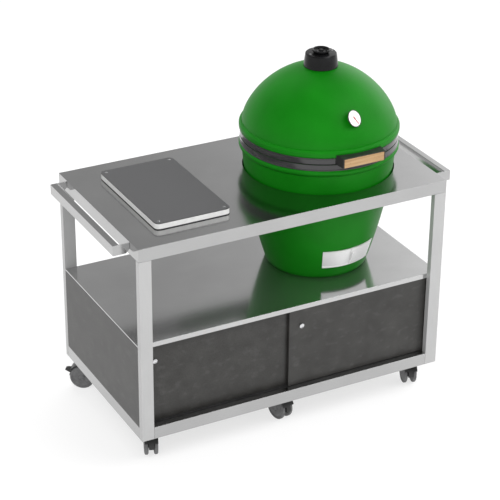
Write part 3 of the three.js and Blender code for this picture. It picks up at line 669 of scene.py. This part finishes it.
def leg_plug(leg):
    """A black cap pushed into the open lower end of a leg."""
    low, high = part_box(leg)
    size = (high.x - low.x - 2 * LEG_WALL, high.y - low.y - 2 * LEG_WALL)
    place = Matrix.Translation(((low.x + high.x) / 2, (low.y + high.y) / 2, low.z))
    plug = extruded(rounded_block(size, 0.002), *PLUG_HEIGHTS, place)
    piece(f"plug_{leg}", plug, "cart", NYLON, bevel=0.0008)


def screw_head(name, place, body, radius, proud):
    """A domed button head with a round recess; its own +Z is the way out."""
    dome = [math.radians(15 * k) for k in range(5)]
    profile = [(0, 0), (radius, 0)]
    profile += [(radius * math.cos(a), proud * (0.25 + 0.75 * math.sin(a))) for a in dome]
    profile += [(radius * 0.45, proud * 0.98), (radius * 0.42, proud * 0.35), (0, proud * 0.3)]
    piece(name, turned(profile, 24, closed=False, place=place), body, POLISHED)


def door_pulls():
    """Round dished pulls, each with a stem let into its door."""
    for side in ("left", "right"):
        low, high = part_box(f"door_pull_{side}")
        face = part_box(f"door_{side}")[0].y
        centre = Vector(((low.x + high.x) / 2, face, (low.z + high.z) / 2))
        radius = (high.x - low.x) / 2
        proud = face - low.y
        profile = rounded([
            (0, -PULL_SUNK, 0), (PULL_STEM, -PULL_SUNK, 0), (PULL_STEM, 0.0004, 0),
            (radius - 0.001, 0.0004, 0.0005), (radius, 0.0016, 0.0006), (radius, proud - 0.0012, 0.001),
            (radius - 0.0022, proud, 0.0008), (radius - 0.0048, proud - 0.0018, 0.001),
            (0, proud - 0.0026, 0),
        ])
        knob = turned(profile, 48, closed=False, place=facing(centre, (0, -1, 0)))
        piece(f"knob_{side}", knob, f"door_{side}", POLISHED, [f"door_pull_{side}"])


# ---- casters ------------------------------------------------------------------------------------


def caster(name):
    """One swivel caster: hood, twin wheels with their covers, mounting plate and, on two of them, a pedal."""
    wheels = f"caster_{name}_wheels"
    pedal = f"caster_{name}_pedal"
    roll = JOINTS[f"caster_{name}_roll"]
    refine(f"caster_{name}_hood", NYLON, 0.0016, 3)

    place = facing(Vector(roll["pos_m"]), roll["axis"])
    twin = joined(*(wheel(place, side) for side in (-1, 1)), wheel_axle(place))
    piece(f"twin_{name}", twin, wheels, RUBBER, [wheels])
    for letter, side in (("a", -1), ("b", 1)):
        hub = turned(hub_profile(side), 48, closed=False, place=place)
        piece(f"hub_{name}_{letter}", hub, wheels, RUBBER)
    caster_mount(name)
    if pedal in frame["nodes"]:
        refine(pedal, NYLON, 0.0008)


def caster_mount(name):
    """The round plate over a caster's stem, with four screws up into the cabinet's floor."""
    pivot = Vector(JOINTS[f"caster_{name}_swivel"]["pos_m"])
    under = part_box("cabinet_floor")[0].z - GAP - MOUNT_THICK
    flange = rounded([
        (MOUNT_HOLE, 0, 0), (MOUNT_RADIUS, 0, 0.0008), (MOUNT_RADIUS, MOUNT_THICK, 0.001),
        (MOUNT_HOLE, MOUNT_THICK, 0.0006),
    ])
    plate = turned(flange, 48, place=Matrix.Translation((pivot.x, pivot.y, under)))
    piece(f"mount_{name}", plate, "cart", STEEL_X)
    for k in range(4):
        angle = math.radians(45 + 90 * k)
        x = pivot.x + MOUNT_CIRCLE * math.cos(angle)
        y = pivot.y + MOUNT_CIRCLE * math.sin(angle)
        place = facing(Vector((x, y, under)), (0, 0, -1))
        screw_head(f"mount_screw_{name}_{k}", place, "cart", 0.0035, 0.0018)


def wheel(place, side):
    """One wheel of the pair: a rounded tread, and a disc with a groove round it."""
    inner, outer = WHEEL_HALF - WHEEL_THICK, WHEEL_HALF
    rim = WHEEL_RADIUS - 0.0002  # a hair inside the CAD wheel
    corners = [
        (AXLE_RADIUS, inner, 0), (rim - 0.009, inner, 0.001), (rim - 0.004, inner + 0.0002, 0.002),
        (rim, inner + 0.003, 0.003), (rim, outer - 0.003, 0.003), (rim - 0.004, outer, 0.002),
        (rim - 0.008, outer - 0.0004, 0.001), (rim - 0.0095, outer - 0.0022, 0.0008),
        (rim - 0.013, outer - 0.0022, 0.001), (rim - 0.016, outer - 0.0006, 0.002),
        (0.016, outer - 0.0002, 0.002), (0.0135, outer - 0.002, 0.001), (AXLE_RADIUS, outer - 0.002, 0),
    ]
    profile = [(x, y * side) for x, y in rounded(corners)]
    return turned(profile, 72, place=place)


def wheel_axle(place):
    """The axle's bare part between the wheels."""
    half = WHEEL_HALF - WHEEL_THICK + 0.001
    radius = AXLE_RADIUS - GAP
    return turned([(0, -half), (radius, -half), (radius, half), (0, half)], 32, closed=False, place=place)


def hub_profile(side):
    """A small domed cover in the middle of a wheel's disc."""
    radius, outer = 0.0125, WHEEL_HALF - 0.0001
    corners = [
        (0, outer - 0.0039, 0), (radius, outer - 0.0039, 0.0004), (radius, outer - 0.0009, 0.001),
        (radius - 0.0035, outer, 0.002), (0, outer, 0),
    ]
    return [(x, y * side) for x, y in rounded(corners)]


# ---- kamado -------------------------------------------------------------------------------------


def bowl_radius(height):
    t = height / BOWL_HEIGHT
    return BOWL_FOOT + (BOWL_RADIUS - BOWL_FOOT) * ((1 + BOWL_BULGE) * t - BOWL_BULGE * t * t)


def bowl_wall(start, end, offset, count):
    """Corners up the bowl's outside between two heights, moved outward by an offset."""
    heights = [start + (end - start) * k / count for k in range(count + 1)]
    return [(bowl_radius(h) + offset, h, 0) for h in heights]


def dome_radius(height, radius, base, high):
    t = (height - base) / high
    return radius * (1 - t**DOME_FLAT) ** (1 / DOME_FULL)


def dome_wall(radius, base, high, stop, count):
    """Corners up a dome from its base to where it is as narrow as the stop radius."""
    top = base + high * (1 - (stop / radius) ** DOME_FULL) ** (1 / DOME_FLAT)
    heights = [base + (top - base) * math.sin(math.pi / 2 * k / count) for k in range(count + 1)]
    return [(dome_radius(h, radius, base, high), h, 0) for h in heights]


def wedge(inner, outer, start, end, low, high):
    """A block between two angles round the kamado; 0 degrees looks to the front."""
    steps = 24
    angles = [math.radians(start + (end - start) * k / steps) for k in range(steps + 1)]
    outline = [(inner * math.sin(a), -inner * math.cos(a)) for a in angles]
    outline += [(outer * math.sin(a), -outer * math.cos(a)) for a in reversed(angles)]
    return extruded(outline, low, high)


def air_inlet(inner, outer):
    """The block that cuts the air inlet behind the draft door, between two radii."""
    low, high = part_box("draft_frame")
    bottom = low.z - FOOT_Z + INLET_INSET
    top = high.z - FOOT_Z - INLET_INSET
    return wedge(inner, outer, *INLET_DEGREES, bottom, top)


def base_inside(start, offset):
    """The base's inner wall from a height up to its rim, moved outward by an offset."""
    wall = bowl_wall(start, BOWL_HEIGHT, offset - SHELL, 24)
    return [*wall, (SEAT_RADIUS - SHELL + offset, BASE_RIM, 0)]


def kamado_base():
    """The glazed base with its flange and air inlet, and the clay that lines it above the fire box."""
    outside = [
        (0, 0, 0), (FOOT_RADIUS, 0, 0.002), *bowl_wall(0.008, BOWL_HEIGHT - 0.004, 0, 40),
        (FLANGE_RADIUS - 0.004, BOWL_HEIGHT + 0.003, 0.004), (FLANGE_RADIUS, BOWL_HEIGHT + 0.009, 0.006),
        (FLANGE_RADIUS, BASE_SEAT - 0.006, 0.006), (FLANGE_RADIUS - 0.004, BASE_SEAT, 0.004),
        (SEAT_RADIUS, BASE_SEAT, 0), (SEAT_RADIUS, BASE_RIM, 0.001),
    ]
    profile = rounded([*outside, *base_inside(BASE_FLOOR, LINING)[::-1], (0, BASE_FLOOR, 0)])
    body = turned(profile, closed=False)
    shell = piece("kamado_base", body, "cart", GREEN, ["base_shell"])
    carve(shell, [air_inlet(0.15, 0.26)])
    shell.data.transform(on_axis(FOOT_Z))
    lining = rounded(base_inside(LINING_FOOT, LINING - LINING_GAP) + base_inside(LINING_FOOT, 0)[::-1])
    piece("base_lining", turned(lining, place=on_axis(FOOT_Z)), "cart", CLAY)


def fire_box():
    """The clay bowl for the charcoal, with a well, a hole in its floor and the air inlet; its grate."""
    corners = [
        (FIRE_HOLE, FIRE_FOOT, 0), *bowl_wall(FIRE_FOOT, LINER_SPLIT, LINER_FACE, 16),
        *bowl_wall(FIRE_WELL_TOP, LINER_SPLIT, LINER_FACE - LINER, 12)[::-1],
        (FIRE_WELL_RADIUS, FIRE_WELL_TOP, 0), (FIRE_WELL_RADIUS, FIRE_FLOOR, 0), (FIRE_HOLE, FIRE_FLOOR, 0),
    ]
    box = piece("fire_bowl", turned(rounded(corners)), "cart", CLAY, ["fire_box"])
    carve(box, [air_inlet(0.12, 0.23)])
    box.data.transform(on_axis(FOOT_Z))
    refine("charcoal_grate", IRON, 0.0012)


def fire_ring():
    """The clay ring on the fire box, with rounded edges."""
    steps = 12
    base = LINER_SPLIT + GAP
    outside = bowl_wall(base, LINER_TOP, LINER_FACE, steps)
    inside = bowl_wall(base, LINER_TOP, LINER_FACE - LINER, steps)[::-1]
    corners = [
        (radius, height, 0.002 if k in (0, steps) else 0)
        for wall in (outside, inside) for k, (radius, height, _) in enumerate(wall)
    ]
    ring = turned(rounded(corners), place=on_axis(FOOT_Z))
    piece("fire_collar", ring, "cart", CLAY, ["fire_ring"])


def strap(name, body, node, lip_up):
    """A steel band: a flat strap with a rolled edge on the side away from the split."""
    low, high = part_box(node)
    plain, lip, way = (low.z, high.z, 1) if lip_up else (high.z, low.z, -1)
    inner, flat = SEAT_RADIUS + GAP, BAND_RADIUS - BAND_HEM
    corners = [
        (inner, plain, 0.0006), (flat, plain, 0.0008), (flat, lip - (BAND_LIP + 0.001) * way, 0.001),
        (BAND_RADIUS, lip - BAND_LIP * way, 0.0012), (BAND_RADIUS, lip, 0.0014), (inner, lip, 0.0006),
    ]
    piece(name, turned(rounded(corners), 192, place=on_axis(0)), body, BAND, [node])


def gasket(name, body, node):
    low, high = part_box(node)
    outer = high.x - AXIS.x
    inner = outer - GASKET_WIDTH
    places = ((inner, low.z), (outer, low.z), (outer, high.z), (inner, high.z))
    corners = [(radius, height, 0.0006) for radius, height in places]
    piece(name, turned(rounded(corners), 160, place=on_axis(0)), body, FELT, [node])


def lid_inside(offset):
    """The lid's inner wall from its rim up to the chimney, moved outward by an offset."""
    radius = SEAT_RADIUS - SHELL + offset
    base, high = DOME_BASE - DOME_INSIDE_DROP, DOME_HIGH + DOME_INSIDE_RISE + offset
    return [(radius, LID_RIM, 0), *dome_wall(radius, base, high, CHIMNEY_RADIUS, 32)]


def kamado_lid():
    """The glazed dome over its flange, and the clay that lines it."""
    outside = [
        (SEAT_RADIUS, LID_RIM, 0.001), (SEAT_RADIUS, LID_SEAT, 0), (FLANGE_RADIUS - 0.003, LID_SEAT, 0.003),
        (FLANGE_RADIUS, LID_SEAT + 0.005, 0.006), (FLANGE_RADIUS, DOME_BASE - 0.01, 0.007),
        (FLANGE_RADIUS - 0.005, DOME_BASE - 0.002, 0.004),
        *dome_wall(DOME_RADIUS, DOME_BASE, DOME_HIGH, CHIMNEY_RADIUS, 48),
    ]
    dome = turned(rounded(outside + lid_inside(LINING)[::-1]), place=on_axis(TOP_Z))
    piece("kamado_lid", dome, "lid", GREEN, ["lid_shell"])
    lining = rounded(lid_inside(LINING - LINING_GAP) + lid_inside(0)[::-1])
    piece("lid_lining", turned(lining, place=on_axis(TOP_Z)), "lid", CLAY)


def chimney():
    """The iron cap on the dome: a ribbed, tapering wall, and a top with smoke holes and two screws."""
    low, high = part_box("chimney_cap")
    foot = (high.x - low.x) / 2
    top, base = high.z - TOP_Z, low.z - TOP_Z

    def outer(height):
        return foot + (CAP_RADIUS - foot) * (height - base) / (top - base)

    ribs = []
    for k in range(CAP_RIBS):
        height = base + 0.006 + CAP_RIB_PITCH * k
        ribs += [(outer(height), height, 0), (outer(height) - 0.0003, height + 0.0022, 0)]
    corners = [
        (foot - CAP_WALL, base, 0.001), (foot, base, 0.0015), *ribs, (outer(top), top - 0.0025, 0.001),
        (CAP_RADIUS - 0.0025, top, 0.001), (0, top, 0), (0, top - CAP_TOP, 0),
        (CAP_RADIUS - CAP_WALL, top - CAP_TOP, 0.002),
    ]
    cap = piece("smoke_cap", turned(rounded(corners, 3)), "lid", IRON, ["chimney_cap"])
    carve(cap, smoke_holes(top - 2 * CAP_TOP, top + CAP_TOP, 0))
    cap.data.transform(on_axis(TOP_Z))
    for k, side in enumerate((-1, 1)):
        spot = AXIS + Vector((side * CAP_SCREW_X, 0, high.z))
        screw_head(f"cap_screw_{k}", facing(spot, (0, 0, 1)), "lid", 0.0042, 0.002)


def smoke_holes(low, high, turn):
    """Six upright pins in a circle, turned by an angle, to be cut out."""
    holes = []
    for k in range(6):
        angle = k * math.pi / 3 + turn
        place = Matrix.Translation((SMOKE_CIRCLE * math.cos(angle), SMOKE_CIRCLE * math.sin(angle), 0))
        pin = [(0, low), (SMOKE_HOLE, low), (SMOKE_HOLE, high), (0, high)]
        holes.append(turned(pin, 24, closed=False, place=place))
    return holes


def dial():
    """The dished vent dial with a raised edge and a button; at rest its holes lie between the cap's."""
    corners = [
        (0, 0, 0), (0.028, 0, 0.001), (0.031, 0.004, 0.003), (0.034, 0.008, 0.003), (0.034, 0.012, 0.0015),
        (0.032, 0.0137, 0.001), (0.029, 0.013, 0.0012), (0.027, 0.007, 0.003), (0.01, 0.005, 0.002),
        (0.008, 0.0105, 0.001), (0.0055, 0.012, 0.001), (0, 0.012, 0),
    ]
    plate = turned(rounded(corners), 96, closed=False)
    disc = piece("draught_dial", plate, "vent_dial", IRON, ["vent_dial"])
    carve(disc, smoke_holes(-0.001, 0.01, math.pi / 6))
    disc.data.transform(on_axis(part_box("vent_dial")[0].z))


def thermometer():
    """A case on a stem, its steel darkened as painted shade round the rim, its white face with marks, and the
    needle; heights are from the face.
    """
    joint = JOINTS["needle_turn"]
    out = -Vector(joint["axis"])
    swing = Matrix.Rotation(math.atan2(out.x, -out.y), 4, "Z")
    rise = Matrix.Rotation(math.pi / 2 - math.asin(out.z), 4, "X")
    place = Matrix.Translation(Vector(joint["pos_m"])) @ swing @ rise
    corners = [
        (0, STEM_END, 0), (STEM_RADIUS, STEM_END + 0.002, 0), (STEM_RADIUS, NECK_END, 0),
        (NECK_RADIUS, NECK_END, 0.0004), (NECK_RADIUS, DIAL_BACK, 0),
        (DIAL_RADIUS - 0.002, DIAL_BACK, 0.001), (DIAL_RADIUS, DIAL_BACK + 0.0012, 0.001),
        (DIAL_RADIUS, 0.0003, 0.001), (DIAL_RADIUS - 0.0011, 0.0013, 0.0006),
        (DIAL_RADIUS - 0.0021, 0.0012, 0.0004), (DIAL_RADIUS - 0.0024, -0.0016, 0), (0, -0.0016, 0),
    ]
    case = turned(rounded(corners), 96, closed=False, place=place)
    # the case's dark tone is painted shade
    piece("dial_case", case, "lid", PAINTED_SHADE_CASE, ["thermometer_case"])
    edge = DIAL_RADIUS - 0.0026
    corners = [(0, -0.0015, 0), (edge, -0.0015, 0), (edge, 0, 0.0003), (0, 0, 0)]
    face = turned(rounded(corners), 96, closed=False, place=place)
    piece("dial_face", face, "lid", WHITE)
    dial_marks(place)
    refine("thermometer_needle", NEEDLE_RED, 0.0002)


def dial_marks(place):
    """Plain ticks round the face, every fifth one longer."""
    marks = []
    for k in range(DIAL_MARKS):
        angle = math.radians(DIAL_SWEEP_DEGREES * (k / (DIAL_MARKS - 1) - 0.5))
        length = 0.0046 if k % 5 == 0 else 0.0026
        centre = MARK_CIRCLE - length / 2
        spin = Matrix.Rotation(-angle, 4, "Z") @ Matrix.Translation((0, centre, 0))
        marks.append(extruded(rounded_block((0.0008, length), 0.0002), -0.0002, 0.00012, place @ spin))
    piece("dial_marks", joined(*marks), "lid", DIAL_MARK)


def lid_handle():
    """The black bracket and the beech grip, with the ends of two dowels in the grip's front."""
    refine("lid_handle_bracket", BLACK_COAT_AND_TRACK_SHADE, 0.0006, 3)
    refine("lid_handle_grip", BEECH, 0.0022, 4)
    low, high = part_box("lid_handle_grip")
    profile = rounded([(0, -0.002, 0), (0.0042, -0.002, 0), (0.0042, 0.0004, 0.0003), (0, 0.0007, 0)])
    for k, x in enumerate((low.x + GRIP_DOWEL_INSET, high.x - GRIP_DOWEL_INSET)):
        place = facing(Vector((x, low.y + 0.0006, (low.z + high.z) / 2)), (0, -1, 0))
        plug = turned(profile, 32, closed=False, place=place)
        piece(f"grip_dowel_{k}", plug, "lid", DOWEL)


def hinge():
    """The two hinge halves on the bands, each held by two screws, and the pin."""
    refine("hinge_pin", POLISHED, 0.0006)
    for node, body in (("hinge_lower", "cart"), ("hinge_upper", "lid")):
        refine(node, BAND, 0.0008)
        low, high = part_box(node)
        height = low.z + HINGE_SCREW_Z if body == "cart" else high.z - HINGE_SCREW_Z
        for k, x in enumerate((-HINGE_SCREW_X, HINGE_SCREW_X)):
            spot = AXIS + Vector((x, HINGE_FACE, height))
            screw_head(f"{node}_screw_{k}", facing(spot, (0, 1, 0)), body, 0.005, 0.0028)


def cooking_grid():
    """Round bars welded under a round rim, with one bar across, lying on the fire ring."""
    low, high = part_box("cooking_grid")
    radius = (high.x - low.x) / 2
    angles = [2 * math.pi * k / ROD_FACETS for k in range(ROD_FACETS)]
    rim = [(radius + GRID_BAR * (math.cos(a) - 1), low.z + GRID_BAR * (math.sin(a) + 1)) for a in angles]
    parts = [turned(rim)]
    reach = radius - 0.003
    level = high.z - GRID_BAR
    for k in range(GRID_BARS):
        x = GRID_PITCH * (k - (GRID_BARS - 1) / 2)
        half = math.sqrt(reach**2 - x * x) - 0.001
        parts.append(rod(Vector((x, -half, level)), Vector((x, half, level)), GRID_BAR))
    half = reach - 0.001
    level = low.z + GRID_BAR
    parts.append(rod(Vector((-half, 0, level)), Vector((half, 0, level)), GRID_BAR * 0.9))
    grid = joined(*parts)
    grid.transform(on_axis(0))
    piece("grill_grid", grid, "cooking_grid", GRID_STEEL, ["cooking_grid"])


def draft():
    # frame and door take the pale copy of the stainless, painted sheen for their bright reflection
    refine("draft_frame", PAINTED_SHEEN_STEEL, 0.0004)
    refine("draft_door", PAINTED_SHEEN_STEEL, 0.0004)


# ---- chopping board -----------------------------------------------------------------------------


def chopping_board():
    """A pale core between two dark skins, with a screw at each corner."""
    body = "chopping_board"
    low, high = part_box(body)
    centre = middle(body)
    width, depth, thick = high - low
    place = Matrix.Translation((centre.x, centre.y, low.z))
    outline = rounded_block((width, depth), BOARD_CORNER)
    core_outline = rounded_block((width - 2 * GAP, depth - 2 * GAP), BOARD_CORNER - GAP)
    core = extruded(core_outline, BOARD_SKIN, thick - BOARD_SKIN, place)
    piece("board_core", core, body, CORE, ["chopping_board"])
    under = extruded(outline, 0, BOARD_SKIN - 0.0001, place)
    piece("board_under", under, body, SKIN, bevel=0.0008)
    top = extruded(outline, thick - BOARD_SKIN + 0.0001, thick, place)
    piece("board_top", top, body, SKIN, bevel=0.001)
    for k, (sx, sy) in enumerate(((-1, -1), (1, -1), (1, 1), (-1, 1))):
        x = centre.x + sx * (width / 2 - BOARD_SCREW_INSET)
        y = centre.y + sy * (depth / 2 - BOARD_SCREW_INSET)
        spot = Vector((x, y, high.z - 0.0006))
        screw_head(f"board_screw_{k}", facing(spot, (0, 0, 1)), body, 0.0055, 0.0012)


# ---- studio -------------------------------------------------------------------------------------


def camera():
    """The camera, placed and turned by its azimuth, elevation and a slight roll."""
    a, e = CAMERA_AZIMUTH, CAMERA_ELEVATION
    back = Vector((math.sin(a) * math.cos(e), -math.cos(a) * math.cos(e), math.sin(e)))
    right = Vector((0, 0, 1)).cross(back).normalized()
    up = back.cross(right)
    rolled_right = math.cos(CAMERA_ROLL) * right + math.sin(CAMERA_ROLL) * up
    rolled_up = math.cos(CAMERA_ROLL) * up - math.sin(CAMERA_ROLL) * right
    data = bpy.data.cameras.new("camera")
    data.lens = FOCAL_LENGTH
    data.sensor_width = SENSOR
    data.clip_end = 100
    view = add_object("camera", data)
    turn = Matrix((rolled_right, rolled_up, back)).transposed().to_4x4()
    view.matrix_world = Matrix.Translation(CAMERA_PLACE) @ turn
    bpy.context.scene.camera = view


def area_light(name, place, target, power):
    """A soft light that fills surfaces but isn't mirrored in them: the world is what they mirror."""
    data = bpy.data.lights.new(name, "AREA")
    data.shape = "SQUARE"
    data.size = LIGHT_SIZE
    data.energy = power
    lamp = add_object(name, data)
    lamp.matrix_world = facing(Vector(place), Vector(place) - Vector(target))
    lamp.visible_glossy = False


def floor():
    """Pale paper that glows a little, as a lit sweep does, so that it is white and casts light upward."""
    h = FLOOR_HALF
    slab = extruded([(-h, -h), (h, -h), (h, h), (-h, h)], -FLOOR_THICK, 0)
    paper = Surface("floor_paper", (0.3, 0.3, 0.3), 0.9, specular=0.1)
    paper.set("Emission Color", (1, 1, 1, 1))
    paper.set("Emission Strength", 0.7)
    paper.bump((paper.noise(30.0, 3.0), 0.02, 0.001))
    ground = add_object("floor", mesh_from("floor", slab))
    ground.data.materials.append(paper.material)


def sky():
    """White near the horizon and greyer above, with a wide bright patch behind and a small one in front."""
    world = bpy.data.worlds.new("studio")
    bpy.context.scene.world = world
    world.use_nodes = True
    tree = world.node_tree
    direction = tree.nodes.new("ShaderNodeTexCoord").outputs["Generated"]
    split = tree.nodes.new("ShaderNodeSeparateXYZ")
    tree.links.new(direction, split.inputs[0])
    total = ramp_node(tree, split.outputs["Z"], SKY_HEIGHTS)
    for centre, stops in SKY_PATCHES:
        toward = tree.nodes.new("ShaderNodeVectorMath")
        toward.operation = "DOT_PRODUCT"
        toward.inputs[1].default_value = Vector(centre).normalized()
        tree.links.new(direction, toward.inputs[0])
        patch = ramp_node(tree, toward.outputs["Value"], stops)
        total = mix_node(tree, total, patch, 1.0, "ADD")
    tree.links.new(total, tree.nodes["Background"].inputs["Color"])


def studio():
    floor()
    sky()
    for name, (place, target, power) in LIGHTS.items():
        area_light(name, place, target, power)
    bpy.context.scene.view_settings.view_transform = "Standard"


# ---- build --------------------------------------------------------------------------------------

camera()
studio()
table()
door_pulls()
for corner in CASTERS:
    caster(corner)
kamado_base()
fire_box()
fire_ring()
strap("lower_strap", "cart", "base_band", False)
strap("upper_strap", "lid", "lid_band", True)
gasket("lower_felt", "cart", "base_gasket")
gasket("upper_felt", "lid", "lid_gasket")
cooking_grid()
draft()
kamado_lid()
chimney()
dial()
thermometer()
lid_handle()
hinge()
chopping_board()
